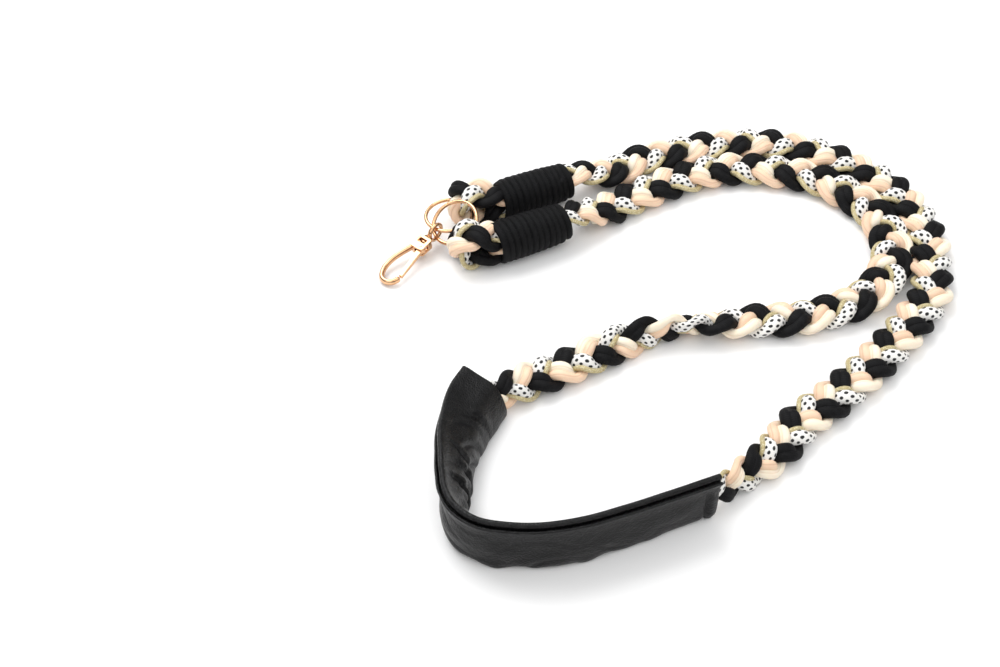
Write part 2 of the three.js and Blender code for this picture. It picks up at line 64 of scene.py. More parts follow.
# Curves and tubes
class Route:  # a smooth centripetal curve through rows, with the rows' values carried along it
    perSpan = 48

    def __init__(self, rows):
        self.rows = rows
        points = np.array([row["point"] for row in rows], float)
        before = 2 * points[0] - points[1]
        after = 2 * points[-1] - points[-2]
        padded = np.vstack([before, points, after])
        shares = np.linspace(0, 1, self.perSpan, endpoint=False)
        spans = [self.span(*padded[i:i + 4], shares) for i in range(len(points) - 1)]
        self.dense = np.vstack(spans + [points[-1:]])
        steps = np.linalg.norm(np.diff(self.dense, axis=0), axis=1)
        self.distances = np.concatenate([[0], np.cumsum(steps)])
        self.places = np.arange(len(self.dense)) / self.perSpan
        self.length = self.distances[-1]

    @staticmethod
    def span(p0, p1, p2, p3, shares):
        gaps = [math.sqrt(np.linalg.norm(b - a)) for a, b in ((p0, p1), (p1, p2), (p2, p3))]
        d0, d1, d2 = gaps
        out = ((p1 - p0) / d0 - (p2 - p0) / (d0 + d1) + (p2 - p1) / d1) * d1
        into = ((p2 - p1) / d1 - (p3 - p1) / (d1 + d2) + (p3 - p2) / d2) * d1
        t = shares[:, None]
        return (p1 + out * t + (3 * (p2 - p1) - 2 * out - into) * t ** 2
                + (2 * (p1 - p2) + out + into) * t ** 3)

    def distanceOfRow(self, index):
        return self.distances[index * self.perSpan]

    def pointsAt(self, distances):
        return np.stack([np.interp(distances, self.distances, self.dense[:, k]) for k in range(3)], 1)

    def valueAt(self, distances, key, usual):
        places = np.interp(distances, self.distances, self.places)
        return np.interp(places, range(len(self.rows)), [row.get(key, usual) for row in self.rows])

    def framesAt(self, distances):  # tangent, side and rise, with the side carried along unturned
        step = 0.25 * mm
        ahead = self.pointsAt(np.minimum(distances + step, self.length))
        tangents = unit(ahead - self.pointsAt(np.maximum(distances - step, 0)))
        sides = np.empty_like(tangents)
        side = unit(np.cross(tangents[0], (0, 0, 1)))
        for i, tangent in enumerate(tangents):
            side = unit(side - tangent * side.dot(tangent))
            sides[i] = side
        return tangents, sides, np.cross(sides, tangents)


def unit(vectors):
    return vectors / np.linalg.norm(vectors, axis=-1, keepdims=True)


def turnAbout(vectors, axes, angles):
    c, s = np.cos(angles)[:, None], np.sin(angles)[:, None]
    alongAxis = axes * (vectors * axes).sum(1, keepdims=True)
    return vectors * c + np.cross(axes, vectors) * s + alongAxis * (1 - c)


def tubeMesh(name, tubes, materials):  # closed tubes in one mesh, with a UV map wound along each
    allPoints, allFaces, allUvs, allSlots, start = [], [], [], [], 0
    for tube in tubes:
        rings = tube["rings"]
        count, sides = rings.shape[:2]
        around = np.linalg.norm(np.roll(rings[count // 2], -1, 0) - rings[count // 2], axis=1).sum()
        steps = np.linalg.norm(np.diff(rings.mean(1), axis=0), axis=1)
        v = np.concatenate([[0], np.cumsum(steps)]) / around
        i, j = np.meshgrid(np.arange(count - 1), np.arange(sides), indexing="ij")
        i, j = i.ravel(), j.ravel()
        near, far = j, (j + 1) % sides
        row, nextRow = i * sides, (i + 1) * sides
        quads = np.stack([row + near, row + far, nextRow + far, nextRow + near], 1)
        uvs = np.stack([np.stack([j / sides, v[i]], 1), np.stack([(j + 1) / sides, v[i]], 1),
                        np.stack([(j + 1) / sides, v[i + 1]], 1), np.stack([j / sides, v[i + 1]], 1)], 1)
        caps = [list(range(sides))[::-1], list((count - 1) * sides + np.arange(sides))]
        allFaces += [list(start + q) for q in quads] + [[start + k for k in cap] for cap in caps]
        allUvs += list(uvs.reshape(-1, 2)) + [(0.0, 0.0)] * (2 * sides)
        allSlots += [tube["slot"]] * (len(quads) + 2)
        allPoints.append(rings.reshape(-1, 3))
        start += count * sides
    mesh = bpy.data.meshes.new(name)
    mesh.from_pydata(np.vstack(allPoints).tolist(), [], [[int(k) for k in f] for f in allFaces])
    for material in materials:
        mesh.materials.append(material)
    mesh.polygons.foreach_set("material_index", allSlots)
    mesh.polygons.foreach_set("use_smooth", [True] * len(allFaces))
    mesh.uv_layers.new(name="along").data.foreach_set("uv", np.array(allUvs, float).ravel())
    faceOutwards(mesh)
    piece = bpy.data.objects.new(name, mesh)
    bpy.context.scene.collection.objects.link(piece)
    return piece


def faceOutwards(mesh):
    shell = bmesh.new()
    shell.from_mesh(mesh)
    bmesh.ops.recalc_face_normals(shell, faces=shell.faces)
    if shell.calc_volume(signed=True) < 0:
        bmesh.ops.reverse_faces(shell, faces=shell.faces)
    shell.to_mesh(mesh)
    shell.free()


# Finishes
class Wire:  # a socket that Python's arithmetic works on
    def __init__(self, finish, socket):
        self.finish, self.socket = finish, socket

    def maths(self, operation, *others):
        values = dict(enumerate([self, *others]))
        return self.finish.node("ShaderNodeMath", {"operation": operation}, values)

    def __add__(self, other): return self.maths("ADD", other)
    def __radd__(self, other): return self.maths("ADD", other)
    def __sub__(self, other): return self.maths("SUBTRACT", other)
    def __mul__(self, other): return self.maths("MULTIPLY", other)
    def __rmul__(self, other): return self.maths("MULTIPLY", other)
    def __pow__(self, other): return self.maths("POWER", other)
    def __abs__(self): return self.maths("ABSOLUTE")
    def sin(self): return self.maths("SINE")
    def fract(self): return self.maths("FRACT")
    def least(self, other): return self.maths("MINIMUM", other)

    def fade(self, low, high):  # 0 below low, 1 above high, smooth between
        settings = {"interpolation_type": "SMOOTHSTEP", "clamp": True}
        values = {"Value": self, "From Min": low, "From Max": high}
        return self.finish.node("ShaderNodeMapRange", settings, values)


class Finish:  # one material: a Principled shader and the nodes that feed it
    def __init__(self, name, **constants):
        self.material = bpy.data.materials.new(name)
        self.material.use_nodes = True
        self.nodes = self.material.node_tree.nodes
        self.links = self.material.node_tree.links
        self.shader = self.nodes["Principled BSDF"]
        for socket, value in constants.items():
            self.shader.inputs[socket.replace("_", " ")].default_value = value

    def node(self, kind, settings=None, values=None, output=0):
        made = self.nodes.new(kind)
        for key, value in (settings or {}).items():
            setattr(made, key, value)
        for key, value in (values or {}).items():
            self.feed(made.inputs[key], value)
        return Wire(self, made.outputs[output])

    def feed(self, socket, value):
        if isinstance(value, Wire):
            self.links.new(value.socket, socket)
        else:
            socket.default_value = value

    def mixColours(self, share, first, second):
        settings = {"data_type": "RGBA"}
        first, second = [c if isinstance(c, Wire) else (*c, 1) for c in (first, second)]
        return self.node("ShaderNodeMix", settings, {0: share, 6: first, 7: second}, output=2)

    def place(self):  # object coordinates
        return self.node("ShaderNodeTexCoord", output=3)

    def along(self):  # how far round a cord, 0 to 1, and how far along it in turns of its girth
        uv = self.node("ShaderNodeUVMap", {"uv_map": "along"})
        split = self.node("ShaderNodeSeparateXYZ", values={0: uv})
        return split, Wire(self, split.socket.node.outputs[1])

    def grain(self, scale, detail, rough=0.5):
        values = {"Vector": self.place(), "Scale": scale, "Detail": detail, "Roughness": rough}
        return self.node("ShaderNodeTexNoise", values=values)

    def cells(self, scale):
        return self.node("ShaderNodeTexVoronoi", values={"Vector": self.place(), "Scale": scale})

    def bump(self, height, strength, depth):
        values = {"Strength": strength, "Distance": depth, "Height": height}
        return self.node("ShaderNodeBump", values=values)

    def use(self, **wires):
        for socket, wire in wires.items():
            self.feed(self.shader.inputs[socket.replace("_", " ")], wire)
        return self.material


fullTurn = 2 * math.pi


def cordWeave(around, along, columns, rows):  # the small diamonds of a woven sheath
    across, down = around * columns, along * rows
    return (fullTurn * (across + down)).sin() * (fullTurn * (across - down)).sin()


# Colours are in linear light. Scales count to the metre, reliefs are depths.
woven = {
    "deep": (0.0025, 0.0025, 0.003), "dusty": (0.007, 0.007, 0.008), "shine": 0.14,
    "dustScale": 420, "dust": (0.3, 0.8), "fuzzScale": 160, "fuzz": 1.2,
    "roughness": 0.5, "dustRoughness": 0.25, "relief": 0.25 * mm,
}


def wovenBlack(name, columns, rows, strength):
    finish = Finish(name, Specular_IOR_Level=woven["shine"])
    around, along = finish.along()
    weave = cordWeave(around, along, columns, rows)
    dust = finish.grain(woven["dustScale"], detail=3)
    colour = finish.mixColours(dust.fade(*woven["dust"]), woven["deep"], woven["dusty"])
    fuzz = finish.grain(woven["fuzzScale"], detail=3) * woven["fuzz"]
    normal = finish.bump(weave * 0.5 + fuzz, strength, woven["relief"])
    roughness = woven["roughness"] + dust * woven["dustRoughness"]
    return finish.use(Base_Color=colour, Roughness=roughness, Normal=normal)


satin = {
    "sheen": 0.2, "sheenRoughness": 0.35, "shine": 0.4, "glow": 0.06, "glowDepth": 1.5 * mm,
    "creases": 3, "creaseDrift": 0.16, "driftScale": 28, "creaseEdge": (0.86, 1), "creaseShade": 0.55,
    "threads": 44, "threadRelief": 0.06, "creaseRelief": 0.7,
    "cloudScale": 90, "cloud": (0.35, 0.75), "cloudShade": 0.35, "lumpScale": 120, "lumps": 0.8,
    "roughness": 0.46, "cloudRoughness": 0.4, "relief": 0.3 * mm, "strength": 0.5,
}


def softSatin(name, colour, shade):  # peach and cream: a smooth flat tube with soft creases along it, their lines darkened with painted shade
    finish = Finish(name, Sheen_Weight=satin["sheen"], Sheen_Roughness=satin["sheenRoughness"],
                    Specular_IOR_Level=satin["shine"], Subsurface_Weight=satin["glow"],
                    Subsurface_Scale=satin["glowDepth"])
    around = finish.along()[0]
    drift = finish.grain(satin["driftScale"], detail=1.5) * satin["creaseDrift"]
    lines = (fullTurn * ((around + drift) * satin["creases"])).sin().fade(*satin["creaseEdge"])
    threads = (fullTurn * (around * satin["threads"])).sin()
    # painted shade: the colour is darkened towards the shade colour along the crease lines, where shade
    # falls in a crease
    creaseToned = finish.mixColours(lines * satin["creaseShade"], colour, shade)
    cloud = finish.grain(satin["cloudScale"], detail=2).fade(*satin["cloud"]) * satin["cloudShade"]
    tinted = finish.mixColours(cloud, creaseToned, shade)
    lumps = finish.grain(satin["lumpScale"], detail=2) * satin["lumps"]
    height = threads * satin["threadRelief"] - lines * satin["creaseRelief"] + lumps
    normal = finish.bump(height, satin["strength"], satin["relief"])
    roughness = satin["roughness"] + cloud * satin["cloudRoughness"]
    return finish.use(Base_Color=tinted, Roughness=roughness, Normal=normal)


dots = {
    "columns": 5, "rowsPerGirth": 5, "size": 0.195, "edge": 0.025, "wobbleScale": 900, "wobble": 0.1,
    "weave": (18, 17), "weaveShade": 0.3, "sheen": 0.15, "shine": 0.35,
    "ink": (0.008, 0.008, 0.009), "white": (0.86, 0.85, 0.82), "whiteShade": (0.6, 0.58, 0.54),
    "roughness": 0.55, "weaveRoughness": 0.08, "strength": 0.5, "relief": 0.2 * mm,
}


def dottedWeave(name):
    finish = Finish(name, Sheen_Weight=dots["sheen"], Specular_IOR_Level=dots["shine"])
    around, along = finish.along()
    column, row = around * dots["columns"], along * dots["rowsPerGirth"]

    def lattice(offset):  # how far from the nearest dot's middle, in dot spacings
        x = abs((column + offset).fract() - 0.5)
        y = abs((row + offset).fract() - 0.5)
        return (x * x + y * y) ** 0.5

    wobble = (finish.grain(dots["wobbleScale"], detail=1) - 0.5) * dots["wobble"]
    spot = lattice(0.0).least(lattice(0.5)) + wobble
    white = spot.fade(dots["size"] - dots["edge"], dots["size"] + dots["edge"])
    weave = cordWeave(around, along, *dots["weave"])
    shade = (weave * 0.5 + 0.5) * dots["weaveShade"]
    base = finish.mixColours(shade, dots["white"], dots["whiteShade"])
    colour = finish.mixColours(white, dots["ink"], base)
    normal = finish.bump(weave * 0.5 + white * 0.3, dots["strength"], dots["relief"])
    roughness = dots["roughness"] + weave * dots["weaveRoughness"]
    return finish.use(Base_Color=colour, Roughness=roughness, Normal=normal)


gold = {
    "weave": (7, 9), "gaps": (-0.6, 0.5), "speckScale": 1500, "specks": (0.15, 0.6), "shine": 0.5,
    "pale": (0.95, 0.91, 0.68), "speck": (0.62, 0.52, 0.28), "gap": (0.45, 0.37, 0.18),
    "roughness": 0.32, "metal": 0.2, "speckShare": 0.2, "strength": 0.7, "relief": 0.2 * mm,
}


def goldLurex(name):
    finish = Finish(name, Specular_IOR_Level=gold["shine"])
    around, along = finish.along()
    weave = cordWeave(around, along, *gold["weave"])
    speck = finish.cells(gold["speckScale"]).fade(*gold["specks"])
    pale = finish.mixColours(speck, gold["pale"], gold["speck"])
    colour = finish.mixColours(weave.fade(*gold["gaps"]), gold["gap"], pale)
    normal = finish.bump(weave * 0.7 + speck * 0.4, gold["strength"], gold["relief"])
    glint = speck * gold["speckShare"]
    return finish.use(Base_Color=colour, Roughness=gold["roughness"] + glint,
                      Metallic=gold["metal"] + glint, Normal=normal)


hide = {
    "pebbleScale": 1150, "creaseScale": 190, "broadScale": 38, "shine": 0.24,
    "deep": (0.0015, 0.0015, 0.0018), "creaseToned": (0.005, 0.005, 0.0055), "wear": (0.35, 0.7),
    "roughness": 0.34, "broadRoughness": 0.16, "pebbleRoughness": 0.1,
    "pebbles": 0.7, "creases": 2.2, "broad": 1.6, "strength": 0.6, "relief": 0.5 * mm,
}


def softLeather(name):
    finish = Finish(name, Specular_IOR_Level=hide["shine"])
    pebbles = finish.cells(hide["pebbleScale"])
    creases = finish.grain(hide["creaseScale"], detail=5, rough=0.62)
    broad = finish.grain(hide["broadScale"], detail=3)
    colour = finish.mixColours(creases.fade(*hide["wear"]), hide["deep"], hide["creaseToned"])
    roughness = hide["roughness"] + broad * hide["broadRoughness"] - pebbles * hide["pebbleRoughness"]
    height = pebbles * hide["pebbles"] + creases * hide["creases"] + broad * hide["broad"]
    normal = finish.bump(height, hide["strength"], hide["relief"])
    return finish.use(Base_Color=colour, Roughness=roughness, Normal=normal)


metal = {
    "bright": (0.76, 0.47, 0.27), "hazy": (0.66, 0.38, 0.2), "haze": (0.3, 0.75), "hazeScale": 240,
    "scratchScale": 1400, "roughness": 0.13, "hazeRoughness": 0.1, "strength": 0.08, "relief": 0.05 * mm,
}


def polishedRoseGold(name):
    finish = Finish(name, Metallic=1.0)
    haze = finish.grain(metal["hazeScale"], detail=3)
    colour = finish.mixColours(haze.fade(*metal["haze"]), metal["bright"], metal["hazy"])
    scratches = finish.grain(metal["scratchScale"], detail=2)
    normal = finish.bump(scratches, metal["strength"], metal["relief"])
    roughness = metal["roughness"] + haze * metal["hazeRoughness"]
    return finish.use(Base_Color=colour, Roughness=roughness, Normal=normal)


table = {
    "light": (0.93, 0.93, 0.93), "dark": (0.9, 0.9, 0.9), "fogScale": 9, "shine": 0.2,
    "roughness": 0.6, "fogRoughness": 0.05,
}


def tableTop(name):
    finish = Finish(name, Specular_IOR_Level=table["shine"])
    fog = finish.grain(table["fogScale"], detail=2)
    colour = finish.mixColours(fog, table["dark"], table["light"])
    return finish.use(Base_Color=colour, Roughness=table["roughness"] + fog * table["fogRoughness"])


blackCord = wovenBlack("blackCord", columns=12, rows=11, strength=0.5)
whipCord = wovenBlack("whipCord", columns=12, rows=9, strength=0.75)
peachCord = softSatin("peachCord", colour=(0.86, 0.62, 0.44), shade=(0.66, 0.42, 0.28))
creamCord = softSatin("creamCord", colour=(0.93, 0.83, 0.67), shade=(0.76, 0.6, 0.42))
dottedCord = dottedWeave("dottedCord")
goldCord = goldLurex("goldCord")
leather = softLeather("blackLeather")
roseGold = polishedRoseGold("roseGold")
print("finishes made")

# The strap as it lies. Places on the table are shares of the loop's width and depth.
loop = {"width": 0.274, "depth": 0.29, "tableGap": 0.15 * mm}
outerRun = [
    (0.0758, -0.3374, 70), (0.1308, -0.2934, 35), (0.1598, -0.2584, 10), (0.1968, -0.2104, 0),
    (0.2478, -0.1694, 0), (0.3388, -0.0794, 0), (0.4078, 0.0036, 0), (0.4518, 0.0686, 0),
    (0.4628, 0.1276, 0), (0.4708, 0.1996, 0), (0.4558, 0.2826, 0), (0.4118, 0.3586, 0),
    (0.3428, 0.4156, 0), (0.2728, 0.4516, 0), (0.1998, 0.4636, 0), (0.1238, 0.4606, 0),
    (0.0468, 0.4416, 0), (-0.0292, 0.4166, 0), (-0.0832, 0.3846, 0),
]  # across, along, twist in degrees, from the sleeve to the whipping
innerRun = [
    (-0.2562, -0.1414, -148), (-0.2122, -0.1134, -174), (-0.1612, -0.0864, -178), (-0.0922, -0.0514, -140),
    (-0.0222, -0.0244, -86), (0.0288, -0.0104, -50), (0.0798, -0.0034, -14), (0.1488, 0.0066, 0),
    (0.1998, 0.0106, 0), (0.2588, 0.0236, 0), (0.3058, 0.0416, 0), (0.3568, 0.0796, 0),
    (0.3898, 0.1276, 0), (0.4028, 0.1866, 0), (0.3968, 0.2416, 0), (0.3698, 0.2966, 0),
    (0.3168, 0.3486, 0), (0.2658, 0.3756, 0), (0.1928, 0.3896, 0), (0.1158, 0.3896, 0),
    (0.0538, 0.3686, 0), (-0.0152, 0.3346, 0), (-0.0922, 0.2866, 0),
]  # the same columns
sleeveRun = [
    (-0.2962, -0.1824, 40), (-0.3152, -0.2154, 37), (-0.3322, -0.2534, 31), (-0.3472, -0.2984, 24),
    (-0.3562, -0.3444, 17), (-0.3612, -0.3894, 12), (-0.3572, -0.4184, 11), (-0.3432, -0.4434, 11),
    (-0.3182, -0.4594, 12), (-0.2852, -0.4664, 12), (-0.2342, -0.4684, 12), (-0.1772, -0.4584, 12),
    (-0.1172, -0.4364, 13), (-0.0572, -0.4114, 14), (0.0288, -0.3722, 16),
]  # across, along, lean outward in degrees


def onTable(across, along, height):
    return (across * loop["width"], along * loop["depth"], height)


sleeve = {
    "height": 30 * mm, "braidSeat": 10.4 * mm, "rim": 0.55 * mm, "rimSteps": 4,
    "stations": 320 if fine else 150, "around": 140 if fine else 90, "mouthStations": 60,
    "hemAt": 2.4 * mm, "hemWidth": 1.9 * mm, "hemSwell": 0.75 * mm,
    "seamAt": 5.2 * mm, "seamWidth": 0.9 * mm, "seamDepth": 1.125 * mm,
    "flankTop": 24 * mm, "flankFade": 8 * mm,  # above the flank the leather is stitched flat
    "soft": {"length": 17 * mm, "height": 12 * mm, "depth": 0.9 * mm},
    "low": {"length": 9 * mm, "top": 6 * mm, "depth": 1.3 * mm},
    "lip": {"length": 21 * mm, "from": 26 * mm, "depth": 0.5 * mm},
}
sleeveCurve = Route([
    {"point": onTable(x, y, loop["tableGap"]), "lean": lean} for x, y, lean in sleeveRun
])


def sleevePlace(distances, heights, outs):  # the section curls outward from the table to its top
    tangents = sleeveCurve.framesAt(distances)[0]
    sides = unit(np.cross(tangents, (0, 0, 1)))
    lean = np.maximum(np.radians(sleeveCurve.valueAt(distances, "lean", 0)), 1e-4)
    turn = 2 * lean * heights / sleeve["height"]
    radius = sleeve["height"] / (2 * lean)
    shift = radius * (1 - np.cos(turn)) + outs * np.cos(turn)
    rise = radius * np.sin(turn) - outs * np.sin(turn)
    foot = sleeveCurve.pointsAt(distances)
    return foot + sides * shift[:, None] + np.array([0, 0, 1]) * rise[:, None]


# Braids
braid = {
    "pitch": 35 * mm, "halfThickness": 5.4055 * mm, "halfWidth": 10.15 * mm,
    "cordSway": 6 * mm, "cordLift": 2.9 * mm, "corner": 0.07, "roll": 0.4, "swell": 0.16,
    "inSleeve": 26 * mm, "tipSpread": 3.2 * mm, "tipReach": 8 * mm,
    "ringsPerPitch": 34 if fine else 18, "sides": 16 if fine else 10,
    # how much of its full size the braid keeps where it is squeezed
    "twistSize": 0.8, "sleeveSize": 0.66, "exitSize": 0.78, "whipSize": 0.7, "mouthSize": 0.74,
    "foldSize": 0.98,
}
whip = {
    "length": 37 * mm, "cover": 4.2 * mm, "diameter": 21.5 * mm, "turns": 12,
    "cordWidth": 3.8 * mm, "cordThickness": 3.4 * mm,
    "stepsPerTurn": 56 if fine else 28, "sides": 14 if fine else 8,
    "slant": 0.1, "taper": 0.09, "bulge": 0.35 * mm, "tail": 29 * mm, "layer": 3.3 * mm,
    "tuckTurns": 0.35, "tuckDepth": 2.72 * mm, "tuckSize": 0.35,  # both ends dive under the turns
    "driftRate": 0.8, "drift": 0.352 * mm, "rippleRate": 2.2, "ripple": 0.176 * mm,
}
fold = {
    "height": 12.4 * mm,
    # shares of an end's reach and of half the height, over the top and back below
    "outline": [(0.3, 0.78), (0.6, 1), (0.88, 0.78), (1, 0), (0.88, -0.78), (0.6, -1), (0.3, -0.78)],
    "tip": 3, "inWhip": 0.04,  # the outline's farthest row, and how far in the fold starts
}
ends = {
    "outer": {"x": -78.61 * mm, "y": 83.13 * mm, "heading": 24.8, "foldHeading": 10, "reach": 22.5 * mm,
              "cordStart": 5.6, "girth": 0.97},
    "inner": {"x": -80.61 * mm, "y": 50.83 * mm, "heading": 26, "foldHeading": 5, "reach": 20 * mm,
              "cordStart": 5.35, "girth": 1},
}
whipAxis = whip["diameter"] / 2 + loop["tableGap"]
strands = [
    {"name": "black", "share": 0, "slot": "black_cord", "aside": braid["tipSpread"], "cords": [
        {"off": -1.5, "width": 5.7, "thick": 5, "finish": blackCord},
        {"off": 1.5, "width": 5.7, "thick": 5, "finish": blackCord}]},
    {"name": "blush", "share": 1 / 3, "slot": "blush_cord", "aside": 0, "cords": [
        {"off": -2, "width": 5, "thick": 4.6, "finish": peachCord},
        {"off": 2, "width": 5, "thick": 4.6, "finish": creamCord}]},
    {"name": "dotted", "share": 2 / 3, "slot": "dotted_cord", "aside": 0, "cords": [
        {"off": -2.85, "width": 2.5, "thick": 2.7, "finish": goldCord},
        {"off": 0.85, "width": 6.3, "thick": 4.7, "finish": dottedCord}]},
]  # a cord's off, width and thick are in millimetres, across the strand from its middle


def headingTo(degrees):
    return np.array([math.cos(math.radians(degrees)), math.sin(math.radians(degrees)), 0])


def braidRoute(run, end, depths, upright):
    rows = []
    for depth in depths:
        at = np.array([depth])
        lean = sleeveCurve.valueAt(at, "lean", 0)[0]
        point = sleevePlace(at, np.array([sleeve["braidSeat"]]), np.zeros(1))[0]
        twist = upright - 2 * lean * sleeve["braidSeat"] / sleeve["height"]
        rows.append({"point": point, "twist": twist, "size": braid["sleeveSize"]})
    for across, along, twist in run:
        onEdge = abs(math.sin(math.radians(twist)))
        size = 1 + (braid["twistSize"] - 1) * onEdge
        flat, standing = braid["halfThickness"] + loop["tableGap"], size * braid["halfWidth"]
        height = flat + (standing - flat) * onEdge
        rows.append({"point": onTable(across, along, height), "twist": twist, "size": size})
    mouth = np.array([end["x"], end["y"], whipAxis])
    up = np.array([0, 0, 1])

    def inWhip(share, side, size):  # the run lies above the whipping's middle, its tail below
        inwards = headingTo(end["heading"]) * share * whip["length"]
        rows.append({"point": mouth + inwards + up * side * whip["layer"], "size": braid[size]})

    inWhip(1, 1, "exitSize")
    inWhip(0.5, 1, "whipSize")
    inWhip(fold["inWhip"], 1, "mouthSize")
    outwards = headingTo(end["foldHeading"] + 180)
    tipRow = len(rows) + fold["tip"]
    for reach, rise in fold["outline"]:
        point = mouth + outwards * reach * end["reach"] + up * rise * fold["height"] / 2
        rows.append({"point": point, "size": braid["foldSize"]})
    inWhip(fold["inWhip"], -1, "mouthSize")
    inWhip(whip["tail"] / whip["length"], -1, "whipSize")
    route = Route(rows)
    route.tip = route.distanceOfRow(tipRow)
    return route


def strandTubes(route, hand, strand):
    count = round(route.length / braid["pitch"] * braid["ringsPerPitch"])
    distances = np.linspace(0, route.length, count)
    tangents, sides, rises = route.framesAt(distances)
    twist = np.radians(route.valueAt(distances, "twist", 0))
    size = route.valueAt(distances, "size", 1)
    sides, rises = turnAbout(sides, tangents, twist), turnAbout(rises, tangents, twist)
    turn = fullTurn * ((distances - route.tip) / braid["pitch"] + 0.25 + hand * strand["share"])
    atTip = strand["aside"] * np.exp(-((distances - route.tip) / braid["tipReach"]) ** 2)
    sway = size * braid["cordSway"] * (np.sin(turn) - braid["corner"] * np.sin(3 * turn)) + atTip
    lift = size * hand * braid["cordLift"] * np.sin(2 * turn)
    middles = route.pointsAt(distances) + sides * sway[:, None] + rises * lift[:, None]
    along = unit(np.gradient(middles, axis=0))
    flat = unit(np.cross(along, rises))
    wide = turnAbout(flat, along, hand * braid["roll"] * np.cos(turn))
    thick = np.cross(wide, along)
    angles = np.linspace(0, fullTurn, braid["sides"], endpoint=False)
    full = size * (1 + braid["swell"] * (np.abs(np.sin(2 * turn)) - 0.5))
    tubes = []
    for slot, cord in enumerate(strand["cords"]):
        centre = middles + wide * (full * cord["off"] * mm)[:, None]
        halfWide, halfThick = full * cord["width"] * mm / 2, full * cord["thick"] * mm / 2
        rings = (centre[:, None] + wide[:, None] * (halfWide[:, None] * np.cos(angles))[..., None]
                 + thick[:, None] * (halfThick[:, None] * np.sin(angles))[..., None])
        tubes.append({"rings": rings, "slot": slot})
    return tubes


def makeBraid(name, route, hand):
    for strand in strands:
        tubes = strandTubes(route, hand, strand)
        materials = [cord["finish"] for cord in strand["cords"]]
        piece = tubeMesh(f"{name}_{strand['name']}_cords", tubes, materials)
        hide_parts(f"{name}_{strand['name']}_strand")
        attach(piece, "strap")


depthsInSleeve = [braid["inSleeve"], braid["inSleeve"] / 2, 1 * mm]
depthsFromFarEnd = [sleeveCurve.length - depth for depth in depthsInSleeve]
makeBraid("outer", braidRoute(outerRun, ends["outer"], depthsFromFarEnd, upright=90), hand=1)
makeBraid("inner", braidRoute(innerRun, ends["inner"], depthsInSleeve, upright=-90), hand=-1)
print("braids made")


# Whippings
def makeWhipping(name):
    end = ends[name]
    share = np.linspace(0, 1, whip["turns"] * whip["stepsPerTurn"] + 1)
    turns = whip["turns"] * share
    angle = fullTurn * turns + end["cordStart"]
    advance = (whip["length"] + whip["cover"] - whip["cordWidth"]) / whip["turns"]
    tuck = np.clip(np.minimum(turns, whip["turns"] - turns) / whip["tuckTurns"], 0, 1)
    tuck = tuck * tuck * (3 - 2 * tuck)
    drift = np.array([noise.noise((t * whip["driftRate"], end["cordStart"], 0)) for t in turns])
    ripple = np.array([noise.noise((t * whip["rippleRate"], end["cordStart"], 5)) for t in turns])
    radius = (whip["diameter"] - whip["cordThickness"]) / 2 * end["girth"]
    radius = radius - (1 - tuck) * whip["tuckDepth"]
    radius = radius * (1 - whip["taper"] * share ** 2) + ripple * whip["ripple"]
    radius = radius + whip["bulge"] * np.sin(math.pi * share) - whip["bulge"]
    lean = whip["slant"] * np.sin(angle) * np.sin(math.pi * np.clip(share, 0.08, 0.92))
    x = whip["cordWidth"] / 2 - whip["cover"] + advance * turns + drift * whip["drift"] + radius * lean
    middles = np.stack([x, radius * np.cos(angle), radius * np.sin(angle)], 1)
    outward = np.stack([np.zeros_like(x), np.cos(angle), np.sin(angle)], 1)
    across = unit(np.cross(unit(np.gradient(middles, axis=0)), outward))
    around = np.linspace(0, fullTurn, whip["sides"], endpoint=False)
    size = (whip["tuckSize"] + (1 - whip["tuckSize"]) * tuck)[:, None]
    aside = size * np.sin(around) * whip["cordWidth"] / 2
    out = size * np.cos(around) * whip["cordThickness"] / 2
    rings = middles[:, None] + across[:, None] * aside[..., None] + outward[:, None] * out[..., None]
    piece = tubeMesh(f"{name}_whip_cord", [{"rings": rings, "slot": 0}], [whipCord])
    heading = Matrix.Rotation(math.radians(end["heading"]), 4, "Z")
    piece.data.transform(Matrix.Translation((end["x"], end["y"], whipAxis)) @ heading)
    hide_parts(f"{name}_whipping")
    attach(piece, "strap")


makeWhipping("outer")
makeWhipping("inner")
print("whippings made")

# Shoulder sleeve. Rows are millimetres outward from its middle and up.
sleeveOutline = [
    (0, 0), (2.6, 0.1), (4.5, 1.1), (5.5, 3.6), (5.8, 8), (5.6, 13), (4.7, 17),
    (3.6, 20.5), (2.9, 24), (2.7, 26.6), (2.75, 27.9), (2.5, 28.8), (1.9, 29), (1.4, 28.5),
    (1.2, 27.6), (1, 26.8), (0.75, 27.4), (0.55, 28.7), (0.2, 29.7), (-0.5, 30.1), (-1.3, 30.1),
    (-2, 29.6), (-2.3, 28.2), (-2.5, 24), (-3.3, 20.5), (-4.7, 17), (-5.6, 13), (-5.8, 8),
    (-5.5, 3.6), (-4.5, 1.1), (-2.6, 0.1),
]  # the lower fold, the belly, and two lips with a groove between them
sleeveMouth = [
    (0, 2), (2.6, 2.3), (4, 4.5), (4.35, 8), (4.15, 12.5), (3.2, 16.4), (1.7, 19),
    (0, 19.6), (-1.7, 19), (-3.2, 16.4), (-4.15, 12.5), (-4.35, 8), (-4, 4.5), (-2.6, 2.3),
]
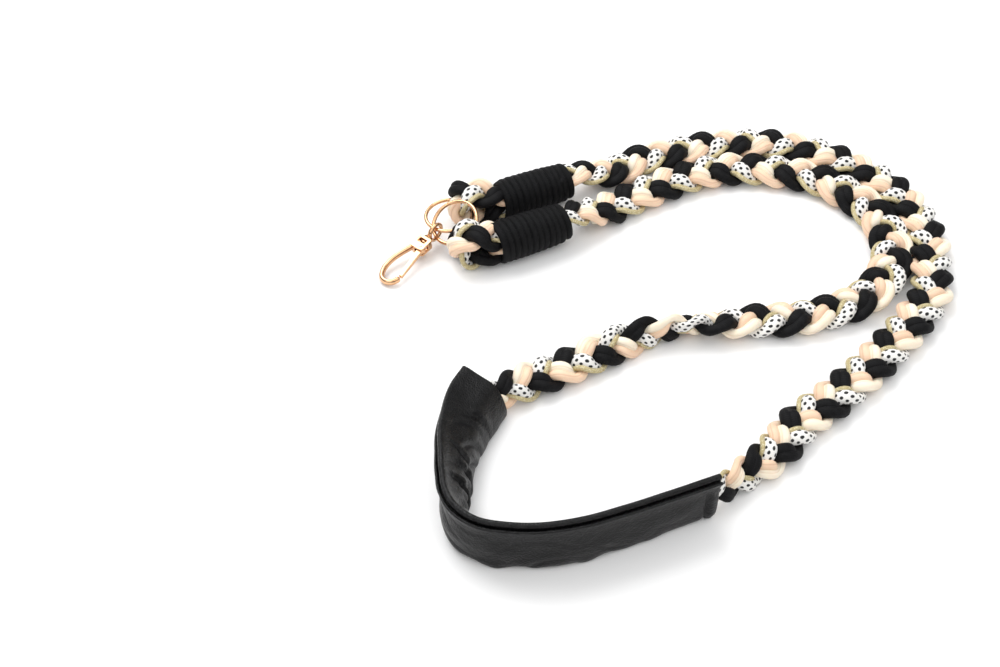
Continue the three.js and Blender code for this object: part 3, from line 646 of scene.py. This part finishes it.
sleeveCreases = [
    {"along": 20, "up": 15, "side": -1, "turn": 66, "length": 9, "width": 1.3, "depth": -0.9},
    {"along": 27, "up": 19, "side": -1, "turn": 58, "length": 8, "width": 1.1, "depth": -0.7},
    {"along": 33, "up": 12, "side": -1, "turn": 52, "length": 9, "width": 1.3, "depth": -1.2},
    {"along": 41, "up": 9, "side": -1, "turn": 40, "length": 8, "width": 1.2, "depth": -1.3},
    {"along": 44, "up": 17, "side": -1, "turn": 118, "length": 7, "width": 1.1, "depth": -0.9},
    {"along": 50, "up": 12, "side": -1, "turn": 96, "length": 9, "width": 1.3, "depth": -1.5},
    {"along": 55, "up": 8, "side": -1, "turn": 74, "length": 8, "width": 1.2, "depth": -1.5},
    {"along": 60, "up": 14, "side": -1, "turn": 108, "length": 9, "width": 1.2, "depth": -1.6},
    {"along": 64.5, "up": 9, "side": -1, "turn": 84, "length": 8, "width": 1.2, "depth": -1.5},
    {"along": 70, "up": 14, "side": -1, "turn": 70, "length": 9, "width": 1.4, "depth": -1.3},
    {"along": 77, "up": 10, "side": -1, "turn": 104, "length": 8, "width": 1.5, "depth": -0.9},
    {"along": 52, "up": 6, "side": 1, "turn": 24, "length": 9, "width": 1.7, "depth": -0.5},
    {"along": 66, "up": 20, "side": 1, "turn": 6, "length": 16, "width": 1.2, "depth": -0.35},
    {"along": 84, "up": 22, "side": 1, "turn": 176, "length": 14, "width": 1.1, "depth": -0.3},
    {"along": 79, "up": 7, "side": 1, "turn": 160, "length": 9, "width": 1.5, "depth": -0.55},
    {"along": 108, "up": 21, "side": 1, "turn": 8, "length": 16, "width": 1.2, "depth": -0.3},
    {"along": 112, "up": 6, "side": 1, "turn": 30, "length": 8, "width": 1.6, "depth": -0.45},
    {"along": 140, "up": 7, "side": 1, "turn": 150, "length": 9, "width": 1.5, "depth": -0.4},
]  # millimetres, and degrees from the sleeve's length. Side -1 faces into the loop.
creaseShape = {"bend": 0.03, "ridgeAt": 2.2, "ridgeWidth": 1.6, "ridge": 0.55}  # in widths of the crease


def smoothLoop(rows, count):
    points = np.array(rows, float)
    closed = Route([{"point": (x, y, 0)} for x, y in np.vstack([points, points[:1]])])
    return closed.pointsAt(np.linspace(0, closed.length, count, endpoint=False))[:, :2] * mm


def creaseDepth(along, up, out):
    total = np.zeros_like(along)
    for crease in sleeveCreases:
        turn = math.radians(crease["turn"])
        x, y = along / mm - crease["along"], up / mm - crease["up"]
        lengthwise = x * math.cos(turn) + y * math.sin(turn)
        bend = creaseShape["bend"] * lengthwise ** 2
        across = -x * math.sin(turn) + y * math.cos(turn) + bend
        fade = np.exp(-(lengthwise / crease["length"]) ** 2)
        valley = np.exp(-(across / crease["width"]) ** 2)
        fromRidge = across / crease["width"] - creaseShape["ridgeAt"]
        ridge = creaseShape["ridge"] * np.exp(-(fromRidge / creaseShape["ridgeWidth"]) ** 2)
        total += np.where(out * crease["side"] > 0, crease["depth"] * mm * fade * (valley - ridge), 0)
    return total


def sleeveSkinRings():
    outline = smoothLoop(sleeveOutline, sleeve["around"])
    out, up = outline[:, 0], outline[:, 1]
    normals = np.roll(outline, -1, 0) - np.roll(outline, 1, 0)
    normals = unit(np.stack([normals[:, 1], -normals[:, 0]], 1))
    flank = np.clip((sleeve["flankTop"] - up) / sleeve["flankFade"], 0, 1)
    soft, low, lip = sleeve["soft"], sleeve["low"], sleeve["lip"]
    nearTable = np.clip(1 - up / low["top"], 0, 1)
    rim, length = sleeve["rim"], sleeveCurve.length
    quarter = np.linspace(0, math.pi / 2, sleeve["rimSteps"] + 1)[:-1]
    rounded = [(rim - rim * math.cos(a), rim - rim * math.sin(a)) for a in quarter]
    stations = rounded + [(s, 0) for s in np.linspace(rim, length - rim, sleeve["stations"])]
    stations += [(length - s, shrink) for s, shrink in rounded[::-1]]
    rings = []
    for along, shrink in stations:
        here = np.full(len(outline), along)
        toEnd = length - along
        hem = sleeve["hemSwell"] * math.exp(-((toEnd - sleeve["hemAt"]) / sleeve["hemWidth"]) ** 2)
        seam = sleeve["seamDepth"] * math.exp(-((toEnd - sleeve["seamAt"]) / sleeve["seamWidth"]) ** 2)
        lumps = [noise.noise((along / soft["length"], y / soft["height"], 3 * np.sign(x)))
                 for x, y in outline]
        sag = noise.noise((along / low["length"], 9.1, 0)) * low["depth"] * nearTable
        push = creaseDepth(here, up, out) - shrink
        push += (np.array(lumps) * soft["depth"] + hem - seam + sag) * flank
        shape = outline + normals * push[:, None]
        rise = noise.noise((along / lip["length"], 4.2, 0)) * lip["depth"]
        height = np.maximum(shape[:, 1], 0.02 * mm) + np.where(up > lip["from"], rise, 0)
        rings.append(sleevePlace(here, height, shape[:, 0]))
    return np.array(rings)


def sleeveMouthRings():
    outline = smoothLoop(sleeveMouth, sleeve["around"])
    stations = np.linspace(0, sleeveCurve.length, sleeve["mouthStations"])
    return np.array([
        sleevePlace(np.full(len(outline), along), outline[:, 1], outline[:, 0]) for along in stations
    ])


def makeSleeve():
    around = sleeve["around"]
    rings = np.concatenate([sleeveSkinRings(), sleeveMouthRings()[::-1]])
    faces = []
    for i in range(len(rings)):
        row, nextRow = i * around, (i + 1) % len(rings) * around
        for j in range(around):
            k = (j + 1) % around
            faces.append((row + j, row + k, nextRow + k, nextRow + j))
    mesh = bpy.data.meshes.new("leather_sleeve")
    mesh.from_pydata(rings.reshape(-1, 3).tolist(), [], faces)
    mesh.polygons.foreach_set("use_smooth", [True] * len(faces))
    mesh.materials.append(leather)
    faceOutwards(mesh)
    piece = bpy.data.objects.new("leather_sleeve", mesh)
    bpy.context.scene.collection.objects.link(piece)
    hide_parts("shoulder_sleeve")
    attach(piece, "strap")


makeSleeve()
print("sleeve made")

# Hardware, in millimetres and in the hook's own frame: +X from the eye to the bow, +Y towards the gate
hook = {
    "place": (-111.71, 61.625, 8.2), "heading": 230, "sink": 9, "gap": 0.3, "throughCut": 4,
    "eyeRadius": 4.2, "eyeWire": 1.9, "eyeFootFrom": 0.55, "eyeFootWidth": 1.25,
    "collar": (2.7, 1.6), "collarNeck": 0.72, "collarSoft": 0.3,
    "post": 1.2, "head": (1.8, 1.2), "headSoft": 0.45,
    "bossStart": 6.1, "bossLength": 8.4, "bossWidth": 7.6, "bossThickness": 5, "wall": 1.7,
    "window": (2.6, 4.4), "corner": 1.6, "soft": 0.32,
    "bowLength": 31.65, "bowSide": 11.8, "bar": (1.35, 1.7), "bowSteps": 44,
    "nose": [20, 40, 58, 74, 86],  # degrees round its rounded end
    "bow": [(0.1, -0.16), (0.16, -0.2), (0.34, -0.36), (0.6, -0.5), (0.82, -0.44), (0.97, -0.2),
            (1, 0.08), (0.95, 0.33), (0.87, 0.42)],  # shares of the bow's length and side
    "pin": 0.7, "pinProud": 0.25, "pinSoft": 0.22,
}
gate = {
    "pivot": (12.4, 1.7), "turn": 9.6, "reach": 19.2, "half": (1.3, 1.1), "eye": 2.1, "boreGap": 0.15,
    "tipInset": 0.35, "tipProud": 0.3, "tipSize": (1, 0.62, 0.92), "soft": 0.25,
}
splitRings = {
    "outer_ring": {"centre": (-105.11, 71.425, 10.6), "high": 22.8, "tilt": 3.6},
    "inner_ring": {"centre": (-102.11, 63.725, 12.6), "high": 42.6, "tilt": 31},
    "radius": 11.5, "wire": 0.95, "steps": 144, "seamAt": 0.35, "seamSize": 0.8, "seamWidth": 0.16,
}
inMetres = Matrix.Scale(mm, 4)
hookTurn = Matrix.Rotation(math.radians(hook["heading"]), 4, "Z")
hookSink = Matrix.Rotation(math.radians(hook["sink"]), 4, "Y")
hookFrame = inMetres @ Matrix.Translation(hook["place"]) @ hookTurn @ hookSink


def clearHands():  # nothing selected, and out of edit mode
    if bpy.context.object and bpy.context.object.mode != "OBJECT":
        bpy.ops.object.mode_set(mode="OBJECT")
    bpy.ops.object.select_all(action="DESELECT")


def only(*pieces):
    clearHands()
    for piece in pieces:
        piece.select_set(True)
    bpy.context.view_layer.objects.active = pieces[0]


def started(name):
    piece = bpy.context.object
    piece.name = name
    only(piece)
    bpy.ops.object.transform_apply(location=True, rotation=True, scale=True)
    return piece


def middleOf(part):
    return sum((corner.co for corner in part.verts), Vector()) / len(part.verts)


def pick(piece, kind, test):  # opens edit mode with the edges or faces that pass the test selected
    only(piece)
    bpy.ops.object.mode_set(mode="EDIT")
    bpy.ops.mesh.select_mode(type=kind)
    bpy.ops.mesh.select_all(action="DESELECT")
    shell = bmesh.from_edit_mesh(piece.data)
    for part in shell.edges if kind == "EDGE" else shell.faces:
        if test(part):
            part.select_set(True)
    bmesh.update_edit_mesh(piece.data)


def modify(piece, kind, **settings):
    only(piece)
    modifier = piece.modifiers.new(kind, kind)
    for key, value in settings.items():
        setattr(modifier, key, value)
    bpy.ops.object.modifier_apply(modifier=modifier.name)


def merge(piece, other, operation):
    modify(piece, "BOOLEAN", operation=operation, object=other, solver="EXACT")
    bpy.data.objects.remove(other)


def soften(piece, width, segments=3):
    sharp = math.radians(35)
    modify(piece, "BEVEL", width=width, segments=segments, limit_method="ANGLE", angle_limit=sharp)
    bpy.ops.object.shade_smooth_by_angle(angle=math.radians(40))


def block(name, low, high):
    clearHands()
    bpy.ops.mesh.primitive_cube_add(size=1)
    piece = started(name)
    pick(piece, "FACE", lambda face: True)
    bpy.ops.transform.resize(value=[b - a for a, b in zip(low, high)], center_override=(0, 0, 0))
    bpy.ops.transform.translate(value=[(a + b) / 2 for a, b in zip(low, high)])
    only(piece)
    return piece


def rod(name, radius, start, end, across="X", at=(0, 0)):
    clearHands()
    turn = (0, math.pi / 2, 0) if across == "X" else (0, 0, 0)
    middle = ((start + end) / 2, *at) if across == "X" else (*at, (start + end) / 2)
    bpy.ops.mesh.primitive_cylinder_add(vertices=48, radius=radius, depth=end - start,
                                        location=middle, rotation=turn)
    return started(name)


def join(name, *pieces):
    only(*pieces)
    bpy.ops.object.join()
    pieces[0].name = name
    return pieces[0]


def finishPiece(piece, place, node, body):
    piece.data.transform(place)
    piece.data.materials.clear()
    piece.data.materials.append(roseGold)
    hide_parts(node)
    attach(piece, body)


def makeRing(name):
    row, radius, steps = splitRings[name], splitRings["radius"], splitRings["steps"]
    clearHands()
    bpy.ops.mesh.primitive_torus_add(major_radius=radius, minor_radius=splitRings["wire"],
                                     major_segments=steps, minor_segments=28)
    ring = started(f"{name}_wire")
    step = fullTurn / steps
    seam = math.pi * splitRings["seamAt"]
    seamStep = round(seam / step) * step

    def atSeam(edge):  # one loop round the wire, where its ends meet
        return all(abs(math.atan2(v.co.y, v.co.x) - seamStep) < step / 4 for v in edge.verts)

    pick(ring, "EDGE", atSeam)
    bpy.ops.mesh.bevel(offset=splitRings["seamWidth"], segments=2, affect="EDGES")
    pick(ring, "EDGE", atSeam)
    spot = (radius * math.cos(seam), radius * math.sin(seam), 0)
    bpy.ops.transform.resize(value=(splitRings["seamSize"],) * 3, center_override=spot)
    only(ring)
    bpy.ops.object.shade_smooth_by_angle(angle=math.radians(60))
    high = Matrix.Rotation(math.radians(row["high"]), 4, "Z")
    tilt = Matrix.Rotation(-math.radians(row["tilt"]), 4, "Y")
    finishPiece(ring, inMetres @ Matrix.Translation(row["centre"]) @ high @ tilt, name, "strap")


def makeSwivelEye():
    clearHands()
    start = hook["eyeRadius"]
    bpy.ops.mesh.primitive_torus_add(major_radius=start, minor_radius=hook["eyeWire"] / 2,
                                     major_segments=72, minor_segments=24, rotation=(math.pi / 2, 0, 0))
    loop = started("eyeLoop")
    pick(loop, "FACE", lambda face: middleOf(face).x > start * hook["eyeFootFrom"])
    bpy.ops.transform.resize(value=(1, hook["eyeFootWidth"], 1), center_override=(0, 0, 0))
    only(loop)
    bpy.ops.object.shade_smooth_by_angle(angle=math.radians(60))
    radius, length = hook["collar"]
    collar = rod("eyeCollar", radius, start, start + length)
    pick(collar, "FACE", lambda face: abs(middleOf(face).x - start) < 0.01)
    neck = hook["collarNeck"]
    bpy.ops.transform.resize(value=(1, neck, neck), center_override=(start, 0, 0))
    soften(collar, hook["collarSoft"])
    innerFace = start + length + hook["wall"] + 2 * hook["gap"]
    post = rod("eyePost", hook["post"], start + length / 2, innerFace + 0.2)  # ends inside its head
    headRadius, headLength = hook["head"]
    head = rod("eyeHead", headRadius, innerFace, innerFace + headLength)
    soften(head, hook["headSoft"], 4)
    finishPiece(join("swivelEye", loop, collar, post, head), hookFrame, "swivel_eye", "strap")


def bowStations():
    start, length, side = hook["bossStart"], hook["bowLength"], hook["bowSide"]
    curve = Route([{"point": (start + x * length, y * side, 0)} for x, y in hook["bow"]])
    points = curve.pointsAt(np.linspace(0, curve.length, hook["bowSteps"]))
    ways = unit(np.gradient(points, axis=0))
    stations = [(point, way, 1) for point, way in zip(points, ways)]
    tip, way = points[-1], ways[-1]
    for angle in np.radians(hook["nose"]):
        stations.append((tip + way * hook["bar"][0] * math.sin(angle), way, math.cos(angle)))
    return stations


def makeBow():
    stations = bowStations()
    point, way, size = stations[0]
    clearHands()
    bpy.ops.mesh.primitive_circle_add(vertices=28, radius=1, fill_type="NGON",
                                      rotation=(0, math.pi / 2, 0))
    bow = started("bow")
    bpy.ops.object.mode_set(mode="EDIT")
    bpy.ops.mesh.select_all(action="SELECT")
    half, tall = hook["bar"]
    bpy.ops.transform.resize(value=(1, half, tall), center_override=(0, 0, 0))
    bpy.ops.transform.translate(value=point)
    bpy.ops.transform.rotate(value=-math.atan2(way[1], way[0]), orient_axis="Z", center_override=point)
    for nextPoint, nextWay, nextSize in stations[1:]:
        bpy.ops.mesh.extrude_region_move(TRANSFORM_OT_translate={"value": nextPoint - point})
        turn = math.atan2(way[0] * nextWay[1] - way[1] * nextWay[0], way @ nextWay)
        bpy.ops.transform.rotate(value=-turn, orient_axis="Z", center_override=nextPoint)
        bpy.ops.transform.resize(value=(nextSize / size,) * 3, center_override=nextPoint)
        point, way, size = nextPoint, nextWay, nextSize
    bpy.ops.mesh.select_all(action="SELECT")
    bpy.ops.mesh.normals_make_consistent(inside=False)
    only(bow)
    bpy.ops.object.shade_smooth_by_angle(angle=math.radians(50))
    return bow


def makeHookBody():
    start, end = hook["bossStart"], hook["bossStart"] + hook["bossLength"]
    half, thick, gap = hook["bossWidth"] / 2, hook["bossThickness"] / 2, hook["gap"]
    boss = block("boss", (start, -half, -thick), (end, half, thick))
    pick(boss, "EDGE", lambda edge: abs(edge.verts[0].co.z - edge.verts[1].co.z) > 1)
    bpy.ops.mesh.bevel(offset=hook["corner"], segments=6, affect="EDGES")
    length, width = hook["window"]
    inner, cut = start + hook["wall"], hook["throughCut"]
    window = block("window", (inner, -width / 2, -cut), (inner + length, width / 2, cut))
    merge(boss, window, "DIFFERENCE")
    merge(boss, rod("bore", hook["post"] + gap, start - 1, inner + 0.5), "DIFFERENCE")
    reach, slotHalf = 2 * (gate["eye"] + gap), gate["half"][1] + gap
    slot = block("slot", (end - reach, half - reach, -slotHalf), (end + 2, half + 2, slotHalf))
    merge(boss, slot, "DIFFERENCE")
    soften(boss, hook["soft"])
    pinEnd = thick + hook["pinProud"]
    pin = rod("gatePin", hook["pin"], -pinEnd, pinEnd, "Z", gate["pivot"])
    soften(pin, hook["pinSoft"])
    finishPiece(join("hookBody", boss, makeBow(), pin), hookFrame, "hook_body", "hook")


def makeGate():
    half, thick = gate["half"]
    reach, cut = gate["reach"], hook["throughCut"]
    lever = block("lever", (0, -half, -thick), (reach, half, thick))
    pick(lever, "FACE", lambda face: abs(middleOf(face).x - reach) < 0.01)
    bpy.ops.mesh.inset(thickness=gate["tipInset"])
    bpy.ops.transform.translate(value=(gate["tipProud"], 0, 0))
    pick(lever, "FACE", lambda face: middleOf(face).x > reach - 0.1)
    bpy.ops.transform.resize(value=gate["tipSize"], center_override=(reach, 0, 0))
    merge(lever, rod("leverEye", gate["eye"], -thick, thick, "Z"), "UNION")
    merge(lever, rod("leverBore", hook["pin"] + gate["boreGap"], -cut, cut, "Z"), "DIFFERENCE")
    soften(lever, gate["soft"])
    turned = Matrix.Rotation(math.radians(gate["turn"]), 4, "Z")
    place = hookFrame @ Matrix.Translation((*gate["pivot"], 0)) @ turned
    finishPiece(lever, place, "gate_lever", "gate")


makeRing("outer_ring")
makeRing("inner_ring")
makeSwivelEye()
makeHookBody()
makeGate()
print("hardware made")

# Floor and lights
floorSize = 6
lights = [
    {"name": "softKey", "place": (-0.55, 0.7, 1.25), "size": 1.1, "power": 17},
    {"name": "softFill", "place": (0.9, -0.5, 1.3), "size": 1.6, "power": 7},
    {"name": "softFront", "place": (-0.7, -1.1, 1.0), "size": 1.2, "power": 5},
]
# The sky brightens with height, so that low light doesn't wash out the blacks.
sky = {"From Min": 0.1, "From Max": 0.75, "To Min": 0.06, "To Max": 0.95}


def makeStage():
    bpy.ops.mesh.primitive_plane_add(size=floorSize)
    floor = bpy.context.object
    floor.name = "floor"
    floor.data.materials.append(tableTop("tableTop"))
    for light in lights:
        data = bpy.data.lights.new(light["name"], "AREA")
        data.size, data.energy = light["size"], light["power"]
        lamp = bpy.data.objects.new(light["name"], data)
        bpy.context.scene.collection.objects.link(lamp)
        lamp.location = light["place"]
        lamp.rotation_euler = (-Vector(light["place"])).to_track_quat("-Z", "Y").to_euler()
    world = bpy.data.worlds.new("studio")
    bpy.context.scene.world = world
    world.use_nodes = True
    nodes, links = world.node_tree.nodes, world.node_tree.links
    direction = nodes.new("ShaderNodeTexCoord")
    split = nodes.new("ShaderNodeSeparateXYZ")
    fade = nodes.new("ShaderNodeMapRange")
    for key, value in sky.items():
        fade.inputs[key].default_value = value
    links.new(direction.outputs["Generated"], split.inputs[0])
    links.new(split.outputs["Z"], fade.inputs["Value"])
    links.new(fade.outputs["Result"], nodes["Background"].inputs["Strength"])
    nodes["Background"].inputs["Color"].default_value = (1, 1, 1, 1)
    bpy.context.scene.view_settings.view_transform = "Standard"


makeStage()
print("stage set")
